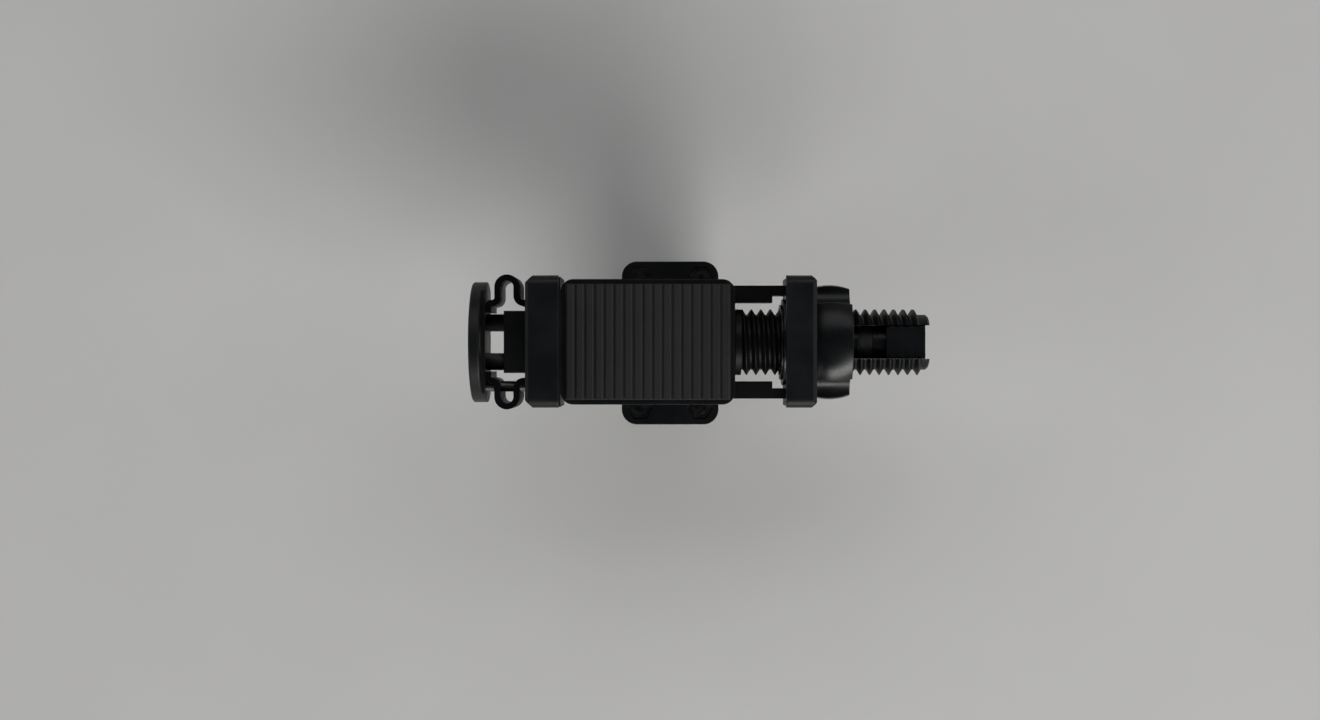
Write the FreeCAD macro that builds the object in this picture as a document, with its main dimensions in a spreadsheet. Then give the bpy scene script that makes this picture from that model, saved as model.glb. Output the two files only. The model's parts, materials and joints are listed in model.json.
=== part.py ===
import FreeCAD, Part
import os
import re
import Sketcher
from FreeCAD import Placement, Rotation, Vector

# Phone mount for a bicycle handlebar. A spring-loaded clamp holds the phone between a fixed
# jaw and a sliding jaw. Pressing the round release button pushes the threaded fork, and with
# it the sliding jaw, away from the phone. The lobed knob runs on the fork's thread and sets
# the width. The cradle swivels on a two-piece clamp that grips a round bar.
#
# Frame: the origin is the centre of the bar clamp's bore. X runs along the bar and the fork,
# with the knob at +X. Y runs along the phone. Z is up, out of the phone's screen.
# Lengths marked "on the shaft" are measured from the fork's axis, which lies above the bar.

SIZES = {
    # Bar clamp
    "bar_radius": 12.7,
    "liner_radius": 14.0,
    "liner_lip_radius": 15.4,
    "liner_lip_width": 1.2,
    "clamp_radius": 17.5,
    "clamp_half_length": 16.0,
    "clamp_gap": 0.6,
    "ear_reach": 27.0,
    "ear_thickness": 7.5,
    "ear_corner": 5.0,
    "foot_wall": 1.0,
    "foot_half_width": 8.0,
    "turret_radius": 16.0,
    "turret_top": 19.5,
    "clamp_screw_x": 10.0,
    "clamp_screw_y": 21.5,
    "clamp_screw_radius": 2.0,
    "clamp_screw_hole": 2.15,
    "clamp_screw_head": 3.5,
    "clamp_head_height": 4.0,
    "clamp_nut_radius": 4.04,
    "clamp_nut_height": 3.2,
    "clamp_socket": 1.75,
    # Swivel
    "swivel_nut_radius": 4.62,
    "swivel_nut_low": 14.4,
    "swivel_nut_top": 17.9,
    "swivel_radius": 2.5,
    "swivel_hole": 2.6,
    "bushing_radius": 4.0,
    "bushing_top": 22.15,
    "swivel_head_radius": 5.0,
    "swivel_head_height": 1.6,
    "swivel_socket": 2.3,
    "washer_inner": 4.3,
    "washer_outer": 15.5,
    "washer_thickness": 0.55,
    "table_low": 20.1,
    "table_top": 24.0,
    "table_radius": 20.0,
    "table_bore": 4.05,
    "table_recess_radius": 5.7,
    "table_web": 2.0,
    "table_bevel": 0.8,
    # Guide tube, heights and widths on the shaft
    "tube_half_height": 10.0,
    "tube_half_width": 13.5,
    "tube_left": -34.3,
    "tube_right": 20.0,
    "tube_bore": 8.95,
    "boss_left": -52.05,
    "boss_half": 9.7,
    "flange_half_length": 13.0,
    "flange_half_width": 19.0,
    "flange_thickness": 2.6,
    "flange_corner": 2.4,
    "flange_screw_x": 7.0,
    "flange_screw_y": 16.2,
    "flange_screw_end": 20.7,
    "groove_floor": 12.1,
    "groove_half_height": 4.3,
    # Back plate and pad
    "plate_half_width": 19.5,
    "plate_thickness": 1.6,
    "plate_corner": 4.0,
    "plate_screw_left": -22.0,
    "plate_screw_right": 12.0,
    "plate_screw_y": 10.8,
    "plate_screw_depth": 4.0,
    "back_pad_inset": 1.5,
    "back_pad_thickness": 1.2,
    # Jaws
    "jaw_outer": 44.45,
    "jaw_half_width": 20.2,
    "fixed_jaw_seat": 11.6,
    "sliding_jaw_seat": 12.8,
    "lip_low": 21.2,
    "lip_thickness": 3.2,
    "jaw_edge_round": 2.9,
    "fixed_jaw_low": 12.5,
    "fixed_wall_inner": 40.85,
    "fixed_corner": 2.3,
    "fixed_bevel": 1.0,
    "jaw_pad_half_width": 18.0,
    "pad_edge_round": 0.8,
    "fixed_pad_face": 34.85,
    "sliding_jaw_low": 13.8,
    "sliding_plate_inner": 36.5,
    "sliding_wall_inner": 42.05,
    "sliding_lip_tip": 35.15,
    "sliding_pad_face": 41.05,
    "sliding_corner": 1.6,
    "sliding_bevel": 1.2,
    # Screws with two-millimetre and three-millimetre threads
    "small_screw_radius": 1.0,
    "small_head_radius": 1.9,
    "small_head_height": 1.8,
    "small_socket": 0.9,
    "flat_head_height": 0.9,
    "jaw_head_radius": 1.7,
    "jaw_screw_y": 11.9,
    "jaw_screw_z": 8.5,
    "jaw_screw_depth": 8.0,
    "screw_radius": 1.5,
    "screw_head_radius": 2.5,
    "screw_head_height": 1.8,
    "screw_socket": 1.4,
    # Allowances: round a screw, over a sunk head, past a screw's tip, and past a cut
    "free_hole": 0.1,
    "sink": 0.2,
    "tip_gap": 0.2,
    "beyond": 1.0,
    # Springs: the two omega strips between the button and the fixed jaw
    "strip_thickness": 1.9,
    "strip_half_width": 10.0,
    "strip_centre": -51.05,
    "arch_radius": 2.98,
    "arch_height": 17.1,
    "foot_height": 12.15,
    "button_turn": 1.7,
    "jaw_turn": 2.2,
    "foot_turn": 1.1,
    "foot_end": 9.3,
    "foot_gap": 0.05,
    # Guide pin
    "pin_radius": 1.65,
    "pin_hole_radius": 1.72,
    "pin_slot_radius": 2.2,
    "pin_y": -13.9,
    "pin_z": 5.0,
    "pin_left": -60.6,
    "pin_right": -39.5,
    # Release button
    "button_outer": -62.3,
    "button_inner": -58.85,
    "button_radius": 19.0,
    "button_bevel": 0.4,
    "button_back": -57.9,
    "button_recess": 2.0,
    "button_screw_y": 6.2,
    "button_screw_end": -48.0,
    # Fork
    "rail_radius": 8.87,
    "root_radius": 8.7,
    "fork_tip": 81.2,
    "tip_radius": 8.1,
    "tip_bevel": 0.7,
    "left_slot_half": 3.5,
    "left_slot_end": -16.0,
    "right_slot_half": 5.3,
    "right_slot_start": 38.0,
    "collar_left": 20.3,
    "collar_right": 22.2,
    "crest_radius": 10.4,
    "thread_start": 22.55,
    "thread_turns": 18.7,
    "thread_pitch": 3.0,
    "thread_base_half": 1.2,
    "thread_crest_half": 0.15,
    # Spreader plug in the fork's open end
    "plug_head_left": 67.6,
    "plug_head_right": 79.8,
    "plug_head_half_width": 5.27,
    "plug_head_half_height": 6.6,
    "plug_bevel": 0.4,
    "plug_neck_left": 63.4,
    "plug_neck_radius": 5.27,
    "plug_waist_left": 59.15,
    "plug_waist_radius": 2.8,
    "plug_body_left": 46.0,
    "plug_body_radius": 5.27,
    "bushing_ring_radius": 5.27,
    "bushing_ring_gap": 0.1,
    "plug_screw_left": 28.0,
    "plug_counterbore": 2.9,
    "plug_counterbore_left": 76.3,
    # Guide arms
    "arm_left": -6.0,
    "arm_inner": 14.6,
    "arm_outer": 17.8,
    "arm_half_height": 4.0,
    "tongue_inner": 12.4,
    "tongue_right": 32.0,
    "arm_screw_y": 16.2,
    "arm_screw_z": 2.4,
    "arm_screw_left": 28.5,
    # Knob
    "knob_left": 45.1,
    "knob_right": 56.3,
    "knob_radius": 18.1,
    "knob_widest": 50.0,
    "notch_radius": 5.6,
    "notch_centre": 18.9,
    "knob_bore": 10.7,
    "sleeve_radius": 11.9,
    "sleeve_left": 34.5,
    "sleeve_hole": 11.98,
    "knob_ridge_tip": 9.2,
    "knob_ridge_half": 0.95,
    "knob_ridge_tip_half": 0.22,
    "knob_ridge_start": 45.05,
    "knob_ridge_turns": 3.3,
    "ring_left": 35.25,
    "ring_right": 36.2,
    "ring_groove_gap": 0.05,
    "ring_groove_radius": 11.35,
    "ring_radius": 13.6,
    "ring_gap_half": 1.6,
    "thrust_radius": 14.2,
    "thrust_thickness": 0.55,
}

# Lengths that follow from the ones above, as formulas in the same words.
FORMULAS = {
    "shaft_height": "table_top + tube_half_height",
    "plate_top": "tube_half_height + plate_thickness",
    "lip_top": "lip_low + lip_thickness",
    "thread_length": "thread_turns * thread_pitch",
    "clamp_head_seat": "ear_thickness - clamp_head_height",
    "clamp_nut_low": "ear_thickness - clamp_nut_height - sink",
}

document = FreeCAD.newDocument("phone_mount")
sheet = document.addObject("Spreadsheet::Sheet", "sizes")
for row, (word, number) in enumerate(SIZES.items(), start=1):
    sheet.set(f"A{row}", word)
    sheet.set(f"B{row}", str(number))
    sheet.setAlias(f"B{row}", word)
document.recompute()


def linked(formula):
    """A formula in the sheet's words, written as an expression for the document."""

    def replacement(match):
        word = match.group()
        if word in FORMULAS:
            return "(" + linked(FORMULAS[word]) + ")"
        return "sizes." + word if word in SIZES else word

    return re.sub(r"[a-z][a-z_]+", replacement, formula)


def value(formula):
    """The number that a formula has now, in millimetres."""
    return float(sheet.evalExpression(linked(formula)))


def bind(item, **formulas):
    """Ties properties of an object to formulas. A double underscore stands for a dot."""
    for name, formula in formulas.items():
        item.setExpression(name.replace("__", "."), linked(formula))
    return item


def move(item, x="0", y="0", z="0"):
    return bind(item, Placement__Base__x=x, Placement__Base__y=y, Placement__Base__z=z)


# Turns that lay a primitive's own Z axis along a row axis.
ALONG = {
    "X": Rotation(Vector(0, 1, 0), 90),
    "Y": Rotation(Vector(1, 0, 0), -90),
    "Z": Rotation(),
}


def box(x, y, z):
    """A block between pairs of formulas for its low and high side on each axis."""
    item = document.addObject("Part::Box", "block")
    bind(
        item,
        Length=f"({x[1]}) - ({x[0]})",
        Width=f"({y[1]}) - ({y[0]})",
        Height=f"({z[1]}) - ({z[0]})",
    )
    return move(item, x[0], y[0], z[0])


def both(formula):
    """The pair of sides of something centred on zero."""
    return (f"-({formula})", formula)


def rod(radius, start, end, along="X", across=("0", "0")):
    """A cylinder from start to end on one axis, at the other two coordinates in order."""
    item = document.addObject("Part::Cylinder", "rod")
    item.Placement = Placement(Vector(), ALONG[along])
    bind(item, Radius=radius, Height=f"({end}) - ({start})")
    return move(item, *ordered(along, start, across))


def ordered(along, start, across):
    """Three coordinates: start on the named axis, and the others in X, Y, Z order."""
    rest = list(across)
    return [start if axis == along else rest.pop(0) for axis in "XYZ"]


def cone(low_radius, high_radius, start, end, along="X", across=("0", "0")):
    item = document.addObject("Part::Cone", "cone")
    item.Placement = Placement(Vector(), ALONG[along])
    bind(item, Radius1=low_radius, Radius2=high_radius, Height=f"({end}) - ({start})")
    return move(item, *ordered(along, start, across))


def hexagon(radius, start, end, along="Z", across=("0", "0")):
    """A six-sided bar, with its corners at radius."""
    item = document.addObject("Part::Prism", "hexagon")
    item.Placement = Placement(Vector(), ALONG[along])
    item.Polygon = 6
    bind(item, Circumradius=radius, Height=f"({end}) - ({start})")
    return move(item, *ordered(along, start, across))


def fuse(*parts):
    item = document.addObject("Part::MultiFuse", "joined")
    item.Shapes = list(parts)
    item.Refine = True
    return item


def common(*parts):
    item = document.addObject("Part::MultiCommon", "shared")
    item.Shapes = list(parts)
    return item


def cut(base, *tools):
    item = document.addObject("Part::Cut", "trimmed")
    item.Base = base
    item.Tool = tools[0] if len(tools) == 1 else group(*tools)
    return item


def group(*parts):
    """Separate solids that are handled as one object."""
    item = document.addObject("Part::Compound", "group")
    item.Links = list(parts)
    return item


def edges_where(shape, test):
    return [number for number, edge in enumerate(shape.Edges, start=1) if test(edge)]


def blended(kind, base, radius, test):
    """A Part::Fillet or Part::Chamfer on the edges of base that pass the test."""
    document.recompute()
    item = document.addObject(kind, "blended")
    item.Base = base
    size = value(radius)
    item.Edges = [(number, size, size) for number in edges_where(base.Shape, test)]
    return item


def runs_along(edge, axis):
    """True for a straight edge that lies along a row axis."""
    if edge.Curve.TypeId != "Part::GeomLine":
        return False
    return abs(abs(edge.tangentAt(edge.FirstParameter).dot(axis)) - 1) < 1e-6


NODES = {}
SHAFT = "shaft_height"


def node(label, item, on_shaft=False):
    """Names a finished sub-part. Those drawn about the fork's axis are lifted to it."""
    item.Label = label
    if on_shaft:
        move(item, z=SHAFT)
    NODES[label] = item
    return item


def origin_plane(body, role):
    return next(f for f in body.Origin.OriginFeatures if f.Role == role)


def outline(body, role, corners):
    """A closed sketch of straight lines whose corners follow pairs of formulas."""
    sketch = body.newObject("Sketcher::SketchObject", "outline")
    sketch.AttachmentSupport = [(origin_plane(body, role), "")]
    sketch.MapMode = "FlatFace"
    points = [(value(across), value(up)) for across, up in corners]
    count = len(points)
    for index, (across, up) in enumerate(points):
        following = points[(index + 1) % count]
        line = Part.LineSegment(Vector(across, up, 0), Vector(*following, 0))
        sketch.addGeometry(line)
    for index in range(count):
        following = (index + 1) % count
        sketch.addConstraint(Sketcher.Constraint("Coincident", index, 2, following, 1))
    for index, (across, up) in enumerate(corners):
        for direction, formula in (("DistanceX", across), ("DistanceY", up)):
            size = value(formula)
            rule = Sketcher.Constraint(direction, -1, 1, index, 1, size)
            number = sketch.addConstraint(rule)
            sketch.setExpression(f"Constraints[{number}]", linked(formula))
    return sketch


def turned(corners, axis="H_Axis"):
    """A body turned about its X axis, or about Z with V_Axis, from corners of X and Z."""
    body = document.addObject("PartDesign::Body", "turned")
    sketch = outline(body, "XZ_Plane", corners)
    turn = body.newObject("PartDesign::Revolution", "turn")
    turn.Profile = sketch
    turn.ReferenceAxis = (sketch, [axis])
    turn.Angle = 360
    body.Tip = turn
    return body


def padded(role, corners, length, both_ways=True):
    """A body of one outline drawn out square to its plane."""
    body = document.addObject("PartDesign::Body", "padded")
    sketch = outline(body, role, corners)
    pad = body.newObject("PartDesign::Pad", "pad")
    pad.Profile = sketch
    pad.Midplane = both_ways
    bind(pad, Length=length)
    body.Tip = pad
    return body


def dress(body, kind, size, test):
    """A PartDesign fillet or chamfer on the edges of the body's tip that pass the test."""
    document.recompute()
    tip = body.Tip
    names = [f"Edge{number}" for number in edges_where(tip.Shape, test)]
    dressing = body.newObject(f"PartDesign::{kind}", kind.lower())
    dressing.Base = (tip, names)
    bind(dressing, **{"Radius" if kind == "Fillet" else "Size": size})
    body.Tip = dressing
    return dressing


SOLID_HEAD = 0.4  # how much of a screw head's height lies under its socket


def screw(radius, head_radius, seat, end, head, socket, along="Z", across=("0", "0")):
    """A socket screw: its head stands on the seat and the shank runs from there to end."""
    start, stop = (seat, end) if value(end) > value(seat) else (end, seat)
    shank = rod(radius, start, stop, along, across)
    if value(end) > value(seat):
        head_ends = (f"({seat}) - ({head})", seat)
        key_ends = (head_ends[0], f"({seat}) - ({head}) * {SOLID_HEAD}")
    else:
        head_ends = (seat, f"({seat}) + ({head})")
        key_ends = (f"({seat}) + ({head}) * {SOLID_HEAD}", head_ends[1])
    cap = rod(head_radius, *head_ends, along, across)
    key = hexagon(socket, *key_ends, along, across)
    return cut(fuse(shank, cap), key)


SIGNS = (1, -1)
CORNERS = [(x, y) for x in SIGNS for y in SIGNS]


def four(make, first, second):
    """Runs make at the four corners of a rectangle with half sides first and second."""
    return [make((f"{a} * ({first})", f"{b} * ({second})")) for a, b in CORNERS]


# ---------------------------------------------------------------- bar clamp


def clamp_half(side):
    """Half of the bar clamp, side 1 above the bar and side -1 below it."""
    ring = rod("clamp_radius", *both("clamp_half_length"))
    far = "clamp_radius + beyond"
    if side > 0:
        keep = ("clamp_gap", far)
        ear_height = ("clamp_gap", "ear_thickness")
    else:
        keep = (f"-({far})", "-clamp_gap")
        ear_height = ("-ear_thickness", "-clamp_gap")
    half = common(ring, box(both("clamp_half_length"), both(far), keep))
    ears = box(both("clamp_half_length"), both("ear_reach"), ear_height)
    vertical = Vector(0, 0, 1)
    ears = blended("Part::Fillet", ears, "ear_corner", lambda e: runs_along(e, vertical))
    return half, ears


def upper_clamp():
    half, ears = clamp_half(1)
    turret = rod("turret_radius", "ear_thickness - beyond", "turret_top", "Z")
    body = fuse(half, ears, turret)
    bore = rod("liner_radius", *both("clamp_half_length + beyond"))
    swivel_hole = rod("swivel_hole", "0", "turret_top + beyond", "Z")
    nut_pocket = hexagon("swivel_nut_radius + free_hole", "0", "swivel_nut_top")
    holes = four(
        lambda at: rod("clamp_screw_hole", "0", "ear_thickness + beyond", "Z", at),
        "clamp_screw_x",
        "clamp_screw_y",
    )
    pockets = four(
        lambda at: hexagon(
            "clamp_nut_radius + free_hole", "clamp_nut_low", "ear_thickness + beyond", "Z", at
        ),
        "clamp_screw_x",
        "clamp_screw_y",
    )
    return cut(body, bore, swivel_hole, nut_pocket, *holes, *pockets)


def lower_clamp():
    half, ears = clamp_half(-1)
    foot = box(
        both("clamp_half_length"),
        both("foot_half_width"),
        ("-clamp_radius", "-liner_radius + foot_wall"),
    )
    body = fuse(half, ears, foot)
    bore = rod("liner_radius", *both("clamp_half_length + beyond"))
    holes = four(
        lambda at: rod("clamp_screw_hole", "-ear_thickness - beyond", "0", "Z", at),
        "clamp_screw_x",
        "clamp_screw_y",
    )
    recesses = four(
        lambda at: rod("clamp_screw_head + sink", "-ear_thickness - beyond", "-clamp_head_seat", "Z", at),
        "clamp_screw_x",
        "clamp_screw_y",
    )
    return cut(body, bore, *holes, *recesses)


def liner(side):
    """Half of the rubber liner, with a lip at each end that hooks over the clamp."""
    end = "clamp_half_length + liner_lip_width"
    sleeve = turned(
        [
            (f"-({end})", "bar_radius"),
            (end, "bar_radius"),
            (end, "liner_lip_radius"),
            ("clamp_half_length", "liner_lip_radius"),
            ("clamp_half_length", "liner_radius"),
            ("-clamp_half_length", "liner_radius"),
            ("-clamp_half_length", "liner_lip_radius"),
            (f"-({end})", "liner_lip_radius"),
        ]
    )
    height = ("clamp_gap", "clamp_radius") if side > 0 else ("-clamp_radius", "-clamp_gap")
    return common(sleeve, box(both(f"{end} + beyond"), both("clamp_radius"), height))


def clamp_screws():
    return group(
        *four(
            lambda at: screw(
                "clamp_screw_radius",
                "clamp_screw_head",
                "-clamp_head_seat",
                "ear_thickness - tip_gap",
                "clamp_head_height - sink",
                "clamp_socket",
                "Z",
                at,
            ),
            "clamp_screw_x",
            "clamp_screw_y",
        )
    )


def nut(radius, bore, low, high, at=("0", "0")):
    hole = rod(bore, f"{low} - beyond", f"{high} + beyond", "Z", at)
    return cut(hexagon(radius, low, high, "Z", at), hole)


def clamp_nuts():
    high = "clamp_nut_low + clamp_nut_height"
    return group(
        *four(
            lambda at: nut("clamp_nut_radius", "clamp_screw_radius", "clamp_nut_low", high, at),
            "clamp_screw_x",
            "clamp_screw_y",
        )
    )


node("upper_clamp", upper_clamp())
node("lower_clamp", lower_clamp())
node("upper_liner", liner(1))
node("lower_liner", liner(-1))
node("clamp_screws", clamp_screws())
node("clamp_nuts", clamp_nuts())

# ---------------------------------------------------------------- swivel

node(
    "swivel_nut",
    nut("swivel_nut_radius", "swivel_radius", "swivel_nut_low", "swivel_nut_top"),
)
node(
    "swivel_bushing",
    cut(
        rod("bushing_radius", "turret_top", "bushing_top", "Z"),
        rod("swivel_radius", "turret_top - beyond", "bushing_top + beyond", "Z"),
    ),
)
node(
    "swivel_screw",
    screw(
        "swivel_radius",
        "swivel_head_radius",
        "bushing_top",
        "swivel_nut_low + tip_gap",
        "swivel_head_height",
        "swivel_socket",
    ),
)
node(
    "friction_washer",
    cut(
        rod("washer_outer", "turret_top", "turret_top + washer_thickness", "Z"),
        rod("washer_inner", "turret_top - beyond", "turret_top + beyond", "Z"),
    ),
)


def turntable():
    disc = turned(
        [
            ("table_bore", "table_low"),
            ("table_radius - table_bevel", "table_low"),
            ("table_radius", "table_low + table_bevel"),
            ("table_radius", "table_top - table_bevel"),
            ("table_radius - table_bevel", "table_top"),
            ("table_recess_radius", "table_top"),
            ("table_recess_radius", "table_low + table_web"),
            ("table_bore", "table_low + table_web"),
        ],
        "V_Axis",
    )
    holes = four(
        lambda at: rod("screw_radius", "flange_screw_end", "table_top + beyond", "Z", at),
        "flange_screw_x",
        "flange_screw_y",
    )
    return cut(disc, *holes)


node("turntable", turntable())

# ---------------------------------------------------------------- guide tube and back plate


def jaw_screw_holes(radius, start, end):
    return four(
        lambda at: rod(radius, start, end, "X", at),
        "jaw_screw_y",
        "jaw_screw_z",
    )


def plate_screw_places():
    return [
        (x, f"{side} * plate_screw_y")
        for x in ("plate_screw_left", "plate_screw_right")
        for side in SIGNS
    ]


def guide_tube():
    span = ("tube_left", "tube_right")
    main = box(span, both("tube_half_width"), both("tube_half_height"))
    boss = box(("boss_left", "tube_left"), both("boss_half"), both("boss_half"))
    flange = box(
        both("flange_half_length"),
        both("flange_half_width"),
        ("-tube_half_height", "flange_thickness - tube_half_height"),
    )
    upright = Vector(0, 0, 1)
    flange = blended("Part::Fillet", flange, "flange_corner", lambda e: runs_along(e, upright))
    bore = rod("tube_bore", "boss_left - beyond", "tube_right + beyond")
    grooves = [
        box(
            ("tube_left - beyond", "tube_right + beyond"),
            sides,
            both("groove_half_height"),
        )
        for sides in (
            ("groove_floor", "tube_half_width + beyond"),
            ("-tube_half_width - beyond", "-groove_floor"),
        )
    ]
    flange_holes = four(
        lambda at: rod("screw_radius + free_hole", "-tube_half_height - beyond", "0", "Z", at),
        "flange_screw_x",
        "flange_screw_y",
    )
    plate_holes = [
        rod(
            "small_screw_radius",
            "tube_half_height - plate_screw_depth",
            "tube_half_height + beyond",
            "Z",
            at,
        )
        for at in plate_screw_places()
    ]
    jaw_holes = jaw_screw_holes("small_screw_radius", "tube_left - beyond", "tube_left + jaw_screw_depth")
    solid = fuse(main, boss, flange)
    return cut(solid, bore, *grooves, *flange_holes, *plate_holes, *jaw_holes)


def rounded_plate(x, half_width, z):
    upright = Vector(0, 0, 1)
    slab = box(x, both(half_width), z)
    return blended("Part::Fillet", slab, "plate_corner", lambda e: runs_along(e, upright))


def back_plate():
    slab = rounded_plate(
        ("tube_left", "tube_right"), "plate_half_width", ("tube_half_height", "plate_top")
    )
    holes = [
        rod("small_screw_radius", "tube_half_height - beyond", "plate_top + beyond", "Z", at)
        for at in plate_screw_places()
    ]
    recesses = [
        rod("small_head_radius", "plate_top - flat_head_height", "plate_top + beyond", "Z", at)
        for at in plate_screw_places()
    ]
    return cut(slab, *holes, *recesses)


def back_plate_screws():
    return group(
        *[
            screw(
                "small_screw_radius",
                "small_head_radius",
                "plate_top - flat_head_height",
                "tube_half_height - plate_screw_depth + tip_gap",
                "flat_head_height",
                "small_socket",
                "Z",
                at,
            )
            for at in plate_screw_places()
        ]
    )


def tube_screws():
    seat = "flange_thickness - tube_half_height"
    return group(
        *four(
            lambda at: screw(
                "screw_radius",
                "screw_head_radius",
                seat,
                "flange_screw_end + tip_gap - shaft_height",
                "screw_head_height",
                "screw_socket",
                "Z",
                at,
            ),
            "flange_screw_x",
            "flange_screw_y",
        )
    )


node("guide_tube", guide_tube(), on_shaft=True)
node("tube_screws", tube_screws(), on_shaft=True)
node("back_plate", back_plate(), on_shaft=True)
node("back_plate_screws", back_plate_screws(), on_shaft=True)
node(
    "back_pad",
    rounded_plate(
        ("tube_left + back_pad_inset", "tube_right - back_pad_inset"),
        "plate_half_width - back_pad_inset",
        ("plate_top", "plate_top + back_pad_thickness"),
    ),
    on_shaft=True,
)

# ---------------------------------------------------------------- fixed jaw


def at_plane(edge, axis, place):
    """True when every point of an edge has the given coordinate on an axis."""
    return all(abs(getattr(v.Point, axis) - place) < 1e-4 for v in edge.Vertexes)


def rounded_jaw(corners, outer, corner, bevel):
    """A jaw: its section drawn out along Y, with dressed outer corners and front edges."""
    body = padded("XZ_Plane", corners, "2 * jaw_half_width")
    side = value("jaw_half_width")
    top = value("lip_top")

    def is_outer_corner(edge):
        on_side = at_plane(edge, "y", side) or at_plane(edge, "y", -side)
        return on_side and at_plane(edge, "x", outer)

    def is_outer_rim(edge):
        return at_plane(edge, "x", outer) and at_plane(edge, "z", top)

    def is_end_rim(edge):
        on_side = at_plane(edge, "y", side) or at_plane(edge, "y", -side)
        return on_side and at_plane(edge, "z", top)

    dress(body, "Chamfer", corner, is_outer_corner)
    dress(body, "Chamfer", bevel, is_outer_rim)
    dress(body, "Fillet", "jaw_edge_round", is_end_rim)
    return body


def fixed_jaw():
    section = [
        ("-jaw_outer", "-fixed_jaw_low"),
        ("tube_left", "-fixed_jaw_low"),
        ("tube_left", "fixed_jaw_seat"),
        ("-fixed_wall_inner", "fixed_jaw_seat"),
        ("-fixed_wall_inner", "lip_low"),
        ("tube_left", "lip_low"),
        ("tube_left", "lip_top"),
        ("-jaw_outer", "lip_top"),
    ]
    jaw = rounded_jaw(section, value("-jaw_outer"), "fixed_corner", "fixed_bevel")
    through = ("-jaw_outer - beyond", "tube_left + beyond")
    window = box(through, both("boss_half"), both("boss_half"))
    holes = jaw_screw_holes("small_screw_radius + free_hole", *through)
    recesses = jaw_screw_holes(
        "jaw_head_radius + free_hole", "-jaw_outer - beyond", "small_head_height + sink - jaw_outer"
    )
    pin_hole = rod("pin_hole_radius", *through, "X", ("pin_y", "pin_z"))
    return cut(jaw, window, pin_hole, *holes, *recesses)


def fixed_jaw_screws():
    return group(
        *four(
            lambda at: screw(
                "small_screw_radius",
                "jaw_head_radius",
                "small_head_height + sink - jaw_outer",
                "tube_left + jaw_screw_depth - tip_gap",
                "small_head_height",
                "small_socket",
                "X",
                at,
            ),
            "jaw_screw_y",
            "jaw_screw_z",
        )
    )


def jaw_pad(face, wall, seat):
    """The rubber pad inside a jaw, between its wall and the phone's edge."""
    low, high = (face, wall) if value(wall) > value(face) else (wall, face)
    slab = box((low, high), both("jaw_pad_half_width"), (seat, "lip_low"))
    inner = value(face)

    def is_phone_edge(edge):
        return at_plane(edge, "x", inner) and runs_along(edge, Vector(0, 0, 1))

    return blended("Part::Fillet", slab, "pad_edge_round", is_phone_edge)


node("fixed_jaw", fixed_jaw(), on_shaft=True)
node("fixed_jaw_screws", fixed_jaw_screws(), on_shaft=True)
node(
    "fixed_jaw_pad",
    jaw_pad("-fixed_pad_face", "-fixed_wall_inner", "fixed_jaw_seat"),
    on_shaft=True,
)

# ---------------------------------------------------------------- omega springs


def chain(points):
    """A wire through straight points, with each (end, middle) pair as an arc to its end."""
    edges = []
    here = points[0]
    for point in points[1:]:
        if isinstance(point, tuple):
            end, middle = point
            edges.append(Part.Arc(here, middle, end).toShape())
            here = end
        else:
            edges.append(Part.LineSegment(here, point).toShape())
            here = point
    return Part.Wire(edges)


def omega_spring(side, with_slot):
    """One bent strip: a foot on the button, a leg, the arch, and a leg that ends on the jaw."""
    thickness = value("strip_thickness")
    centre = value("strip_centre")
    radius = value("arch_radius")
    height = value("arch_height")
    low = value("foot_height")
    left_leg = centre - radius
    right_leg = centre + radius
    left_turn = value("button_turn")
    right_turn = value("jaw_turn")
    foot_turn = value("foot_turn")
    foot = value("button_back + foot_gap + strip_thickness / 2")
    near = 1 - 0.5**0.5  # where the middle of a quarter turn lies, as a part of its radius

    def at(x, y):
        return Vector(x, side * y, 0)

    path = chain(
        [
            at(foot, value("foot_end")),
            at(foot, low - foot_turn),
            (
                at(foot + foot_turn, low),
                at(foot + foot_turn * near, low - foot_turn * near),
            ),
            at(left_leg - left_turn, low),
            (
                at(left_leg, low + left_turn),
                at(left_leg - left_turn * near, low + left_turn * near),
            ),
            at(left_leg, height),
            (at(right_leg, height), at(centre, height + radius)),
            at(right_leg, low + right_turn),
            (
                at(right_leg + right_turn, low),
                at(right_leg + right_turn * near, low + right_turn * near),
            ),
            at(value("-jaw_outer - foot_gap"), low),
        ]
    )
    half_width = value("strip_half_width")
    start = path.Vertexes[0].Point
    section = Part.makePolygon(
        [
            start + Vector(-thickness / 2, 0, -half_width),
            start + Vector(thickness / 2, 0, -half_width),
            start + Vector(thickness / 2, 0, half_width),
            start + Vector(-thickness / 2, 0, half_width),
            start + Vector(-thickness / 2, 0, -half_width),
        ]
    )
    shape = path.makePipeShell([section], True, True)
    if with_slot:
        slot = Part.makeCylinder(
            value("pin_slot_radius"),
            value("-button_back"),
            Vector(value("button_back"), value("pin_y"), value("pin_z")),
            Vector(1, 0, 0),
        )
        shape = shape.cut(slot)
    item = document.addObject("Part::Feature", "omega_spring")
    item.Shape = shape.Solids[0]
    item.Placement = Placement(Vector(0, 0, value(SHAFT)), Rotation())
    return item


node("upper_omega_spring", omega_spring(1, with_slot=False))
node("lower_omega_spring", omega_spring(-1, with_slot=True))

# ---------------------------------------------------------------- fork


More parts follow.
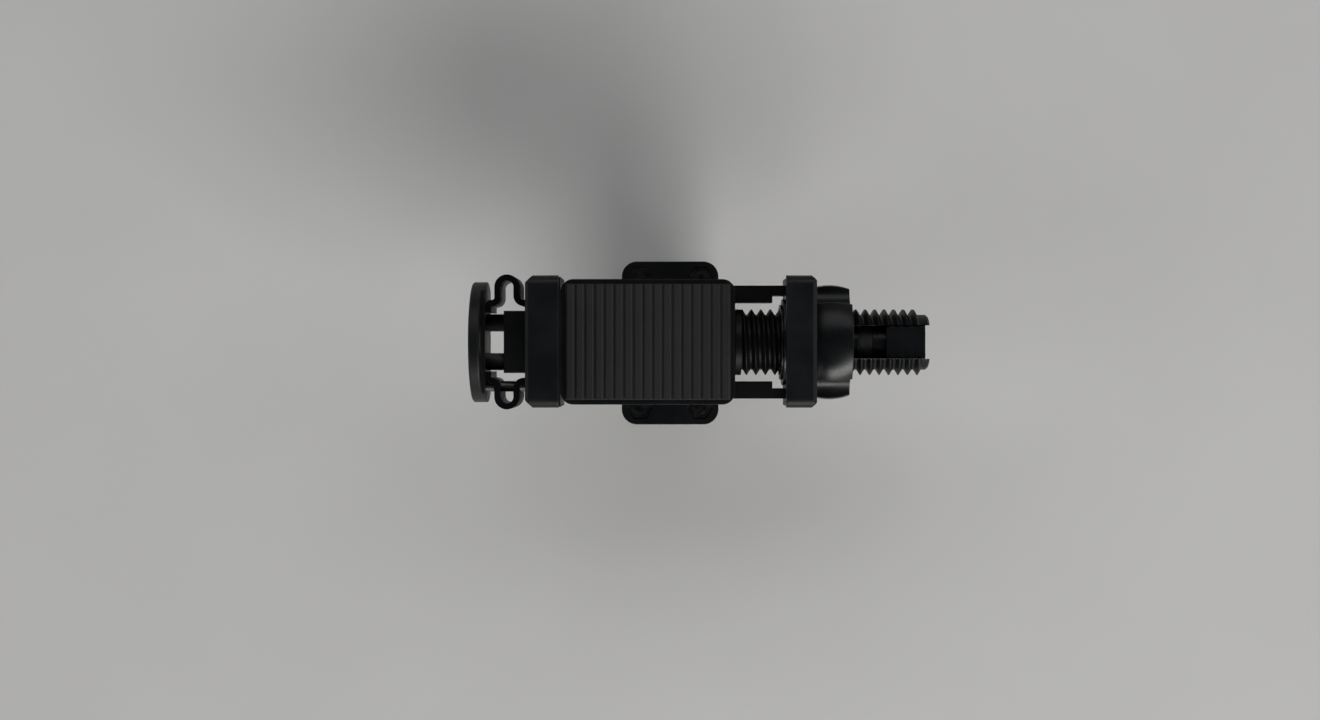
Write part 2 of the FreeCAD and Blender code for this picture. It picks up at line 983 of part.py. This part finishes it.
def thread_ridge(start, length, inner, outer, inner_half, outer_half):
    """A right-handed helical ridge about X. Its crest passes +Y at the start."""
    helix = Part.makeHelix(value("thread_pitch"), length, inner)
    corners = [
        Vector(inner, 0, -inner_half),
        Vector(outer, 0, -outer_half),
        Vector(outer, 0, outer_half),
        Vector(inner, 0, inner_half),
    ]
    section = Part.makePolygon([*corners, corners[0]])
    ridge = Part.Wire(helix).makePipeShell([section], True, True)
    onto_x = Rotation(Vector(1, 0, 0), 90) * Rotation(Vector(0, 1, 0), 90)
    ridge.Placement = Placement(Vector(start, 0, 0), onto_x)
    return ridge


SUNK = 0.3  # how far a ridge's foot is let into the rod or the bore that carries it


def feature(name, shape):
    item = document.addObject("Part::Feature", name)
    item.Shape = shape
    return item


def fork_ridge():
    rise = value("crest_radius - root_radius")
    foot = value("thread_base_half")
    crest = value("thread_crest_half")
    foot_sunk = foot + (foot - crest) * SUNK / rise
    return thread_ridge(
        value("thread_start"),
        value("thread_length"),
        value("root_radius") - SUNK,
        value("crest_radius"),
        foot_sunk,
        crest,
    )


def fork():
    rail = rod("rail_radius", "button_back", "collar_left")
    collar = rod("crest_radius", "collar_left", "collar_right")
    core = rod("root_radius", "collar_right", "fork_tip - tip_bevel")
    tip = cone("root_radius", "tip_radius", "fork_tip - tip_bevel", "fork_tip")
    solid = fuse(fuse(rail, collar, core, tip), feature("fork_ridge", fork_ridge()))
    left_slot = box(
        ("button_back - beyond", "left_slot_end"),
        both("left_slot_half"),
        both("crest_radius + beyond"),
    )
    right_slot = box(
        ("right_slot_start", "fork_tip + beyond"),
        both("right_slot_half"),
        both("crest_radius + beyond"),
    )
    screw_holes = [
        rod(
            "screw_radius",
            "button_back - beyond",
            "button_screw_end",
            "X",
            (f"{side} * button_screw_y", "0"),
        )
        for side in SIGNS
    ]
    plug_hole = rod("screw_radius", "plug_screw_left", "right_slot_start + beyond")
    return cut(solid, left_slot, right_slot, plug_hole, *screw_holes)


def release_button():
    disc = turned(
        [
            ("button_outer", "0"),
            ("button_outer", "button_radius - button_bevel"),
            ("button_outer + button_bevel", "button_radius"),
            ("button_inner - button_bevel", "button_radius"),
            ("button_inner", "button_radius - button_bevel"),
            ("button_inner", "0"),
        ]
    )
    bar = common(
        rod("button_radius", "button_inner - button_bevel", "button_back"),
        box(
            ("button_inner - button_bevel", "button_back"),
            both("button_radius"),
            both("strip_half_width"),
        ),
    )
    places = [(f"{side} * button_screw_y", "0") for side in SIGNS]
    holes = [
        rod("screw_radius + free_hole", "button_outer - beyond", "button_back + beyond", "X", at)
        for at in places
    ]
    recesses = [
        rod(
            "screw_head_radius + free_hole",
            "button_outer - beyond",
            "button_outer + button_recess",
            "X",
            at,
        )
        for at in places
    ]
    pin_hole = rod("pin_radius", "pin_left", "button_back + beyond", "X", ("pin_y", "pin_z"))
    return cut(fuse(disc, bar), pin_hole, *holes, *recesses)


def button_screws():
    return group(
        *[
            screw(
                "screw_radius",
                "screw_head_radius",
                "button_outer + button_recess",
                "button_screw_end - tip_gap",
                "screw_head_height",
                "screw_socket",
                "X",
                (f"{side} * button_screw_y", "0"),
            )
            for side in SIGNS
        ]
    )


def spreader_plug():
    head = box(
        ("plug_head_left", "plug_head_right"),
        both("plug_head_half_width"),
        both("plug_head_half_height"),
    )
    along_rod = Vector(1, 0, 0)
    head = blended("Part::Chamfer", head, "plug_bevel", lambda e: runs_along(e, along_rod))
    neck = rod("plug_neck_radius", "plug_neck_left", "plug_head_left")
    waist = rod("plug_waist_radius", "plug_waist_left", "plug_neck_left")
    body = rod("plug_body_radius", "plug_body_left", "plug_waist_left")
    bore = rod("screw_radius + free_hole", "plug_body_left - beyond", "plug_head_right + beyond")
    recess = rod("plug_counterbore", "plug_counterbore_left", "plug_head_right + beyond")
    return cut(fuse(head, neck, waist, body), bore, recess)


node("fork", fork(), on_shaft=True)
node("release_button", release_button(), on_shaft=True)
node("button_screws", button_screws(), on_shaft=True)
node(
    "guide_pin",
    rod("pin_radius", "pin_left", "pin_right", "X", ("pin_y", "pin_z + shaft_height")),
)
node("spreader_plug", spreader_plug(), on_shaft=True)
node(
    "plug_bushing",
    cut(
        rod(
            "bushing_ring_radius",
            "plug_waist_left + bushing_ring_gap",
            "plug_neck_left - bushing_ring_gap",
        ),
        rod("plug_waist_radius", "plug_waist_left", "plug_neck_left"),
    ),
    on_shaft=True,
)
node(
    "plug_screw",
    screw(
        "screw_radius",
        "screw_head_radius",
        "plug_counterbore_left",
        "plug_screw_left + tip_gap",
        "screw_head_height",
        "screw_socket",
        "X",
    ),
    on_shaft=True,
)

# ---------------------------------------------------------------- sliding jaw


def arm_screw_holes(radius, start, end):
    return four(lambda at: rod(radius, start, end, "X", at), "arm_screw_y", "arm_screw_z")


def sliding_jaw():
    section = [
        ("sliding_plate_inner", "-sliding_jaw_low"),
        ("jaw_outer", "-sliding_jaw_low"),
        ("jaw_outer", "lip_top"),
        ("sliding_lip_tip", "lip_top"),
        ("sliding_lip_tip", "lip_low"),
        ("sliding_wall_inner", "lip_low"),
        ("sliding_wall_inner", "sliding_jaw_seat"),
        ("sliding_plate_inner", "sliding_jaw_seat"),
    ]
    jaw = rounded_jaw(section, value("jaw_outer"), "sliding_corner", "sliding_bevel")
    through = ("sliding_plate_inner - beyond", "jaw_outer + beyond")
    opening = rod("sleeve_hole", *through)
    holes = arm_screw_holes("small_screw_radius + free_hole", *through)
    recesses = arm_screw_holes(
        "small_head_radius + free_hole", "jaw_outer - small_head_height - sink", "jaw_outer + beyond"
    )
    return cut(jaw, opening, *holes, *recesses)


def guide_arm(side):
    """A bar beside the guide tube, with a tongue that runs in the tube's groove."""

    def sides(low, high):
        return (low, high) if side > 0 else (f"-({high})", f"-({low})")

    bar = box(
        ("arm_left", "sliding_plate_inner"),
        sides("arm_inner", "arm_outer"),
        both("arm_half_height"),
    )
    tongue = box(
        ("arm_left", "tongue_right"), sides("tongue_inner", "arm_inner"), both("arm_half_height")
    )
    holes = [
        rod(
            "small_screw_radius",
            "arm_screw_left",
            "sliding_plate_inner + beyond",
            "X",
            (f"{side} * arm_screw_y", f"{sign} * arm_screw_z"),
        )
        for sign in SIGNS
    ]
    return cut(fuse(bar, tongue), *holes)


def guide_arm_screws():
    return group(
        *four(
            lambda at: screw(
                "small_screw_radius",
                "small_head_radius",
                "jaw_outer - small_head_height - sink",
                "arm_screw_left + tip_gap",
                "small_head_height",
                "small_socket",
                "X",
                at,
            ),
            "arm_screw_y",
            "arm_screw_z",
        )
    )


node("sliding_jaw", sliding_jaw(), on_shaft=True)
node(
    "sliding_jaw_pad",
    jaw_pad("sliding_pad_face", "sliding_wall_inner", "sliding_jaw_seat"),
    on_shaft=True,
)
node("upper_guide_arm", guide_arm(1), on_shaft=True)
node("lower_guide_arm", guide_arm(-1), on_shaft=True)
node("guide_arm_screws", guide_arm_screws(), on_shaft=True)
node(
    "thrust_washer",
    cut(
        rod("thrust_radius", "jaw_outer", "jaw_outer + thrust_thickness"),
        rod("sleeve_hole", "jaw_outer - beyond", "jaw_outer + beyond"),
    ),
    on_shaft=True,
)

# ---------------------------------------------------------------- adjusting knob


def ball(radius, x):
    item = document.addObject("Part::Sphere", "ball")
    bind(item, Radius=radius)
    return move(item, x)


NOTCH_ANGLES = (60, 180, 300)  # three lobes, with one of them straight up


def knob_ridge():
    """The ridge inside the knob, half a turn of the thread away from the fork's."""
    bore = value("knob_bore")
    tip = value("knob_ridge_tip")
    wide = value("knob_ridge_half")
    narrow = value("knob_ridge_tip_half")
    wide_sunk = wide + (wide - narrow) * SUNK / (bore - tip)
    length = value("knob_ridge_turns * thread_pitch")
    start = value("knob_ridge_start")
    return thread_ridge(start, length, tip, bore + SUNK, narrow, wide_sunk)


def notch(angle):
    """A finger notch in the knob's rim. The angle is about the fork, from straight up."""
    across = (f"notch_centre * sin({angle} deg)", f"notch_centre * cos({angle} deg)")
    return rod("notch_radius", "knob_left - beyond", "knob_right + beyond", "X", across)


def knob():
    disc = rod("knob_radius + beyond", "knob_left", "knob_right")
    head = common(disc, ball("knob_radius", "knob_widest"))
    notches = [notch(angle) for angle in NOTCH_ANGLES]
    sleeve = rod("sleeve_radius", "sleeve_left", "knob_left + beyond")
    bore = cut(
        rod("knob_bore", "sleeve_left - beyond", "knob_right + beyond"), feature("knob_ridge", knob_ridge())
    )
    ring_groove = cut(
        rod("sleeve_radius + beyond", "ring_left - ring_groove_gap", "ring_right + ring_groove_gap"),
        rod("ring_groove_radius", "ring_left - beyond", "ring_right + beyond"),
    )
    shell = cut(fuse(head, sleeve), ring_groove, *notches)
    return cut(shell, bore)


def knob_retaining_ring():
    ring = rod("ring_radius", "ring_left", "ring_right")
    hole = rod("ring_groove_radius", "ring_left - beyond", "ring_right + beyond")
    gap = box(
        ("ring_left - beyond", "ring_right + beyond"),
        both("ring_gap_half"),
        ("-ring_radius - beyond", "0"),
    )
    return cut(ring, hole, gap)


node("adjusting_knob", knob(), on_shaft=True)
node("knob_retaining_ring", knob_retaining_ring(), on_shaft=True)

# ---------------------------------------------------------------- check and write

document.recompute()
for item in document.Objects:
    if "Invalid" in item.State or "Error" in item.State:
        raise RuntimeError(f"{item.Label} failed: {item.State}")
for label, item in NODES.items():
    if item.Shape.isNull() or not item.Shape.isValid():
        raise RuntimeError(f"{label} has no valid shape")
os.makedirs("parts", exist_ok=True)
for label, item in NODES.items():
    item.Shape.exportStep(f"parts/{label}.step")
    print(label, len(item.Shape.Solids), round(item.Shape.Volume, 1))
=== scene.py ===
import json
import math

import bmesh
import bpy
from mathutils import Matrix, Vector


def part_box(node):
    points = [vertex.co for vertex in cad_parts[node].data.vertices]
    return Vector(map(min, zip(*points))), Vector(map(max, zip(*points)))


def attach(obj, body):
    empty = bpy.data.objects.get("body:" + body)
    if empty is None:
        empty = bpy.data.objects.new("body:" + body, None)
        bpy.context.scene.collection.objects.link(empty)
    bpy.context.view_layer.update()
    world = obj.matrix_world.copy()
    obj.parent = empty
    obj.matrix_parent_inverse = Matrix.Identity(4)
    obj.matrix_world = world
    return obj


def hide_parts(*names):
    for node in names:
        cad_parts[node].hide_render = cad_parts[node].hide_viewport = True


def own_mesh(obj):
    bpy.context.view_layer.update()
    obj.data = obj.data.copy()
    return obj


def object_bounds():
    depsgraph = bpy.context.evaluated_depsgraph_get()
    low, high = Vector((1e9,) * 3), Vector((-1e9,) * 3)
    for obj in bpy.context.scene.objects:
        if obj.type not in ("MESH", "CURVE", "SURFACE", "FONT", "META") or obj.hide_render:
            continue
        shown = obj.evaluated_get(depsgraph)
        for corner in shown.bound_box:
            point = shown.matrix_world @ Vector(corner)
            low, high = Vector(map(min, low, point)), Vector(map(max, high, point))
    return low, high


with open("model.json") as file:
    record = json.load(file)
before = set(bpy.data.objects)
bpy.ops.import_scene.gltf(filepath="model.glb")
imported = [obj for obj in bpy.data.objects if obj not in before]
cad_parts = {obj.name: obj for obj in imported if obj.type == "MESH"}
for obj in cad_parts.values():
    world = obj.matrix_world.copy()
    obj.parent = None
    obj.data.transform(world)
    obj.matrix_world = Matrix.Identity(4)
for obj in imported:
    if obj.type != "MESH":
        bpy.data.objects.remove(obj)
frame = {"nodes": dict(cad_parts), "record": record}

MM = 0.001
X, Y, Z = 0, 1, 2
CAD_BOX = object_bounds()
NODES = frame["nodes"]
BODY_OF = {
    node: body
    for body, members in frame["record"]["behaviour"]["bodies"].items()
    for node in members
}
COLOURS = {m["slot"]: tuple(m["base_color"][:3]) for m in frame["record"]["materials"]}
FORK_LOW, FORK_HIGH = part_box("fork")
SHAFT_HEIGHT = (FORK_LOW.z + FORK_HIGH.z) / 2


# ---------------------------------------------------------------- shader helpers

# Cosine between the rounded and the true normal: on a worn edge, and on a flat face.
ON_EDGE, ON_FLAT = 0.86, 0.985

class Shader:
    """A material with its node tree, and short ways to add and join nodes."""

    def __init__(self, name):
        self.material = bpy.data.materials.new(name)
        self.material.use_nodes = True
        self.nodes = self.material.node_tree.nodes
        self.links = self.material.node_tree.links
        self.surface = self.nodes["Principled BSDF"]

    def add(self, kind, **settings):
        node = self.nodes.new(kind)
        for name, setting in settings.items():
            setattr(node, name, setting)
        return node

    def join(self, source, target):
        self.links.new(source, target)

    def place(self):
        """Coordinates in metres in the object's own frame."""
        return self.add("ShaderNodeTexCoord").outputs["Object"]

    def noise(self, scale, detail, stretch=None):
        """Noise with about `scale` grains to the metre, stretched along an axis if asked."""
        source = self.place()
        if stretch:
            mapping = self.add("ShaderNodeMapping")
            mapping.inputs["Scale"].default_value = stretch
            self.join(source, mapping.inputs["Vector"])
            source = mapping.outputs["Vector"]
        noise = self.add("ShaderNodeTexNoise")
        noise.inputs["Scale"].default_value = scale
        noise.inputs["Detail"].default_value = detail
        self.join(source, noise.inputs["Vector"])
        return noise.outputs["Fac"]

    def spread(self, source, low, high, start=0.35, end=0.65):
        """Maps a 0 to 1 value onto low to high."""
        remap = self.add("ShaderNodeMapRange")
        remap.inputs["From Min"].default_value = start
        remap.inputs["From Max"].default_value = end
        remap.inputs["To Min"].default_value = low
        remap.inputs["To Max"].default_value = high
        self.join(source, remap.inputs["Value"])
        return remap.outputs["Result"]

    def mix(self, factor, first, second):
        mixer = self.add("ShaderNodeMix", data_type="RGBA")
        for socket, colour in ((mixer.inputs[6], first), (mixer.inputs[7], second)):
            if isinstance(colour, tuple):
                socket.default_value = (*colour, 1.0)
            else:
                self.join(colour, socket)
        self.join(factor, mixer.inputs[0])
        return mixer.outputs[2]

    def math(self, operation, first, second):
        node = self.add("ShaderNodeMath", operation=operation)
        for socket, term in zip(node.inputs, (first, second)):
            if isinstance(term, (int, float)):
                socket.default_value = term
            else:
                self.join(term, socket)
        return node.outputs[0]

    def soft_edge(self, radius):
        """A normal that rounds sharp edges over the given radius."""
        bevel = self.add("ShaderNodeBevel", samples=6)
        bevel.inputs["Radius"].default_value = radius
        return bevel.outputs["Normal"]

    def edge_mask(self, rounded):
        """Near 1 on outer edges and near 0 on flat faces."""
        true_normal = self.add("ShaderNodeNewGeometry").outputs["Normal"]
        dot = self.add("ShaderNodeVectorMath", operation="DOT_PRODUCT")
        self.join(rounded, dot.inputs[0])
        self.join(true_normal, dot.inputs[1])
        return self.spread(dot.outputs["Value"], 1.0, 0.0, ON_EDGE, ON_FLAT)

    def bump(self, height, distance, normal=None):
        bump = self.add("ShaderNodeBump")
        bump.inputs["Strength"].default_value = 1.0
        bump.inputs["Distance"].default_value = distance
        self.join(height, bump.inputs["Height"])
        if normal is not None:
            self.join(normal, bump.inputs["Normal"])
        return bump.outputs["Normal"]

    def finish(self, colour, roughness, normal):
        self.join(colour, self.surface.inputs["Base Color"])
        self.join(roughness, self.surface.inputs["Roughness"])
        self.join(normal, self.surface.inputs["Normal"])
        return self.material


def lighter(colour, amount):
    return tuple(channel + amount for channel in colour)


def moulded_plastic(name, colour, rough, grain, wear, edge, gloss):
    """Black moulded plastic: spark-eroded grain, faint flow marks and paler worn edges.

    grain is the height of the grain, wear how far the edges are rubbed pale, and edge
    the radius that sharp edges are rounded to.
    """
    shader = Shader(name)
    shader.surface.inputs["Specular IOR Level"].default_value = gloss
    rounded = shader.soft_edge(edge)
    cloud = shader.noise(90.0, 4.0)
    grains = shader.noise(3200.0, 2.0)
    rubbed = shader.noise(700.0, 5.0)
    worn = shader.math("MULTIPLY", shader.edge_mask(rounded), shader.spread(rubbed, 0.15, 1.0))
    body = shader.mix(shader.spread(cloud, 0.0, 1.0), colour, lighter(colour, 0.002))
    body = shader.mix(shader.math("MULTIPLY", worn, wear), body, lighter(colour, 0.05))
    base_rough = shader.spread(cloud, rough - 0.05, rough + 0.06)
    roughness = shader.math("ADD", base_rough, shader.spread(grains, -0.04, 0.05))
    return shader.finish(body, roughness, shader.bump(grains, grain, rounded))


def soft_rubber(name, colour):
    """Matt rubber: dusty high spots and a fine dimpled skin."""
    shader = Shader(name)
    shader.surface.inputs["Sheen Weight"].default_value = 0.15
    shader.surface.inputs["Sheen Roughness"].default_value = 0.5
    rounded = shader.soft_edge(0.3 * MM)
    dust = shader.noise(160.0, 6.0)
    dimples = shader.noise(1500.0, 2.0)
    body = shader.mix(shader.spread(dust, 0.0, 1.0), colour, lighter(colour, 0.007))
    roughness = shader.spread(dust, 0.72, 0.9)
    return shader.finish(body, roughness, shader.bump(dimples, 0.05 * MM, rounded))


def turned_metal(name, colour, rough):
    """Plated or blackened steel with fine lathe lines and duller patches."""
    shader = Shader(name)
    shader.surface.inputs["Metallic"].default_value = 1.0
    rounded = shader.soft_edge(0.15 * MM)
    patches = shader.noise(420.0, 5.0)
    lines = shader.noise(2200.0, 2.0, (1.0, 1.0, 8.0))
    body = shader.mix(shader.spread(patches, 0.0, 1.0), colour, lighter(colour, 0.03))
    roughness = shader.spread(patches, rough - 0.07, rough + 0.1)
    return shader.finish(body, roughness, shader.bump(lines, 0.01 * MM, rounded))


def nylon(name, colour):
    """Natural nylon: waxy and slightly uneven in tone."""
    shader = Shader(name)
    shader.surface.inputs["Subsurface Weight"].default_value = 0.1
    shader.surface.inputs["Subsurface Scale"].default_value = 1.0 * MM
    rounded = shader.soft_edge(0.2 * MM)
    cloud = shader.noise(220.0, 4.0)
    body = shader.mix(shader.spread(cloud, 0.0, 1.0), colour, lighter(colour, -0.08))
    roughness = shader.spread(cloud, 0.4, 0.55)
    return shader.finish(body, roughness, shader.bump(cloud, 0.03 * MM, rounded))


def pale_floor():
    """Plain pale studio floor with a barely seen mottle."""
    shader = Shader("pale_floor")
    shader.surface.inputs["Specular IOR Level"].default_value = 0.2
    mottle = shader.noise(14.0, 5.0)
    fine = shader.noise(600.0, 3.0)
    body = shader.mix(shader.spread(mottle, 0.0, 1.0), (0.79, 0.79, 0.785), (0.81, 0.81, 0.805))
    roughness = shader.spread(fine, 0.75, 0.9)
    return shader.finish(body, roughness, shader.bump(fine, 0.02 * MM))


FINISHES = {
    "moulded_plastic": moulded_plastic(
        "moulded_plastic",
        COLOURS["moulded_plastic"],
        rough=0.42,
        grain=0.02 * MM,
        wear=0.55,
        edge=0.45 * MM,
        gloss=0.32,
    ),
    "satin_plastic": moulded_plastic(
        "satin_plastic",
        COLOURS["satin_plastic"],
        rough=0.3,
        grain=0.004 * MM,
        wear=0.4,
        edge=0.5 * MM,
        gloss=0.34,
    ),
    "thread_plastic": moulded_plastic(
        "thread_plastic",
        COLOURS["thread_plastic"],
        rough=0.44,
        grain=0.01 * MM,
        wear=0.35,
        edge=0.2 * MM,
        gloss=0.22,
    ),
    "spring_strip": moulded_plastic(
        "spring_strip",
        COLOURS["spring_strip"],
        rough=0.4,
        grain=0.01 * MM,
        wear=0.5,
        edge=0.25 * MM,
        gloss=0.05,
    ),
    "grip_rubber": soft_rubber("grip_rubber", COLOURS["grip_rubber"]),
    "black_steel": turned_metal("black_steel", COLOURS["black_steel"], 0.36),
    "ground_steel": turned_metal("ground_steel", COLOURS["ground_steel"], 0.42),
    "zinc_steel": turned_metal("zinc_steel", COLOURS["zinc_steel"], 0.3),
    "white_nylon": nylon("white_nylon", COLOURS["white_nylon"]),
}
SLOT_OF = {s["node"]: s["material_slot"] for s in frame["record"]["subparts"]}


def paint(piece, slot):
    piece.data.materials.clear()
    piece.data.materials.append(FINISHES[slot])


for node_name, cad_object in NODES.items():
    paint(cad_object, SLOT_OF[node_name])


# ---------------------------------------------------------------- mesh helpers

BEVEL_SEGMENTS = 3
BEVEL_ANGLE = math.radians(35)  # edges sharper than this are bevelled
WELD_DISTANCE = 0.002 * MM
FLAT_ANGLE = math.radians(0.5)  # faces that meet at less than this become one

def new_piece(name, mesh):
    piece = bpy.data.objects.new(name, mesh)
    bpy.context.scene.collection.objects.link(piece)
    return piece


def stand_in(piece, node):
    """The piece takes the place, the body and the finish of a CAD node."""
    paint(piece, SLOT_OF[node])
    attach(piece, BODY_OF[node])
    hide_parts(node)
    return piece


def with_modifiers(piece):
    """Bakes a piece's modifiers into its mesh."""
    graph = bpy.context.evaluated_depsgraph_get()
    mesh = bpy.data.meshes.new_from_object(piece.evaluated_get(graph))
    piece.modifiers.clear()
    piece.data = mesh
    return piece


def bevelled(piece, width):
    bevel = piece.modifiers.new("bevel", "BEVEL")
    bevel.width = width
    bevel.segments = BEVEL_SEGMENTS
    bevel.limit_method = "ANGLE"
    bevel.angle_limit = BEVEL_ANGLE
    bevel.harden_normals = False
    return with_modifiers(piece)


def welded_copy(name, node):
    """The CAD node's own mesh as a new piece, with its split corners joined again."""
    mesh = NODES[node].data.copy()
    form = bmesh.new()
    form.from_mesh(mesh)
    bmesh.ops.remove_doubles(form, verts=form.verts, dist=WELD_DISTANCE)
    bmesh.ops.dissolve_limit(
        form, angle_limit=FLAT_ANGLE, verts=form.verts, edges=form.edges
    )
    form.to_mesh(mesh)
    form.free()
    return new_piece(name, mesh)


# ---------------------------------------------------------------- rubber pads

RIB_OFFSET = 0.14  # where a rib starts and how wide it is, as shares of the pitch
RIB_WIDTH = 0.72
RIB_FOOT = 0.5  # how far a rib reaches below the valley, as a share of its depth
PAD_EDGE = 0.28 * MM

def ribbed_pad(name, node, thick, across, pitch, valley):
    """A rubber pad with rounded ribs.

    thick is the axis of its thickness with +1 or -1 for the way that the ribs face,
    across the axis that the ribs follow one another on, and valley how deep the grooves
    between them are.
    """
    low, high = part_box(node)
    face, direction = thick
    along = ({X, Y, Z} - {face, across}).pop()
    back = low[face] if direction > 0 else high[face]
    front = high[face] if direction > 0 else low[face]
    form = bmesh.new()
    count = max(2, round((high[across] - low[across]) / pitch))
    step = (high[across] - low[across]) / count

    def block(across_low, across_high, near, far):
        corners = []
        for u in (across_low, across_high):
            for v in (low[along], high[along]):
                for w in (near, far):
                    point = [0.0, 0.0, 0.0]
                    point[across], point[along], point[face] = u, v, w
                    corners.append(form.verts.new(point))
        bmesh.ops.convex_hull(form, input=corners)

    floor = front - direction * valley
    block(low[across], high[across], back, floor)
    for index in range(count):
        start = low[across] + index * step + step * RIB_OFFSET
        foot = floor - direction * valley * RIB_FOOT
        block(start, start + step * RIB_WIDTH, foot, front)
    mesh = bpy.data.meshes.new(name)
    form.to_mesh(mesh)
    form.free()
    return stand_in(bevelled(new_piece(name, mesh), PAD_EDGE), node)


ribbed_pad("ribbed_back_pad", "back_pad", (Z, 1), X, 3.0 * MM, 0.5 * MM)
ribbed_pad("ribbed_fixed_pad", "fixed_jaw_pad", (X, 1), Y, 2.4 * MM, 0.6 * MM)
ribbed_pad("ribbed_sliding_pad", "sliding_jaw_pad", (X, -1), Y, 2.4 * MM, 0.4 * MM)


# ---------------------------------------------------------------- omega springs

STRIP_EDGE = 0.22 * MM

def omega_spring(name, node):
    """A bent strip with eased edges in the place of the CAD spring, which closes up as the
    button is pressed.
    """
    piece = bevelled(welded_copy(name, node), STRIP_EDGE)
    stand_in(piece, node)
    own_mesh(piece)


omega_spring("upper_spring_strip", "upper_omega_spring")
omega_spring("lower_spring_strip", "lower_omega_spring")


# ---------------------------------------------------------------- floor, lights and camera

FLOOR_SIZE = 6.0
floor_mesh = bpy.data.meshes.new("floor")
floor_form = bmesh.new()
bmesh.ops.create_grid(floor_form, x_segments=2, y_segments=2, size=FLOOR_SIZE / 2)
floor_form.to_mesh(floor_mesh)
floor_form.free()
floor = new_piece("floor", floor_mesh)
floor.location.z = CAD_BOX[0].z
floor.data.materials.append(pale_floor())

CENTRE = Vector((0.0, 0.0, SHAFT_HEIGHT))
WARM = (1.0, 0.985, 0.965)
FAINTLY_WARM = (1.0, 0.98, 0.95)
SKY = (0.94, 0.96, 1.0, 1.0)
SKY_STRENGTH = 0.04


def area_light(name, direction, distance, size, power, tint=(1.0, 1.0, 1.0)):
    """A soft light of (width, height) that looks at the mount from the given direction."""
    lamp = bpy.data.lights.new(name, "AREA")
    lamp.shape = "RECTANGLE"
    lamp.size, lamp.size_y = size
    lamp.energy = power
    lamp.color = tint
    holder = bpy.data.objects.new(name, lamp)
    bpy.context.scene.collection.objects.link(holder)
    toward = Vector(direction).normalized()
    holder.location = CENTRE + toward * distance
    holder.rotation_mode = "QUATERNION"
    holder.rotation_quaternion = toward.to_track_quat("Z", "Y")


# No light stands above the mount, so flat faces that look up have nothing bright to mirror.
area_light("key", (0.44, -0.8, 0.4), 2.6, (2.6, 0.95), 58.0, WARM)
area_light("left_fill", (-0.9, -0.35, 0.36), 2.6, (1.4, 1.2), 9.0)
area_light("back_fill", (-0.05, 0.74, 0.67), 2.4, (4.6, 1.2), 18.0)
area_light("right_fill", (0.95, 0.3, 0.4), 2.6, (1.3, 1.1), 4.0, FAINTLY_WARM)

world = bpy.data.worlds.new("studio")
bpy.context.scene.world = world
world.use_nodes = True
world.node_tree.nodes["Background"].inputs["Color"].default_value = SKY
world.node_tree.nodes["Background"].inputs["Strength"].default_value = SKY_STRENGTH

CAMERA_DISTANCE = 581 * MM
CAMERA_X, CAMERA_Y = -3.35 * MM, -5.64 * MM
camera_data = bpy.data.cameras.new("camera")
camera_data.lens = 50.0
camera_data.sensor_width = 36.0
camera_data.clip_start = 0.01
camera_data.clip_end = 20.0
camera = bpy.data.objects.new("camera", camera_data)
bpy.context.scene.collection.objects.link(camera)
camera.location = (CAMERA_X, CAMERA_Y, SHAFT_HEIGHT + CAMERA_DISTANCE)
bpy.context.scene.camera = camera

bpy.context.scene.view_settings.view_transform = "Standard"
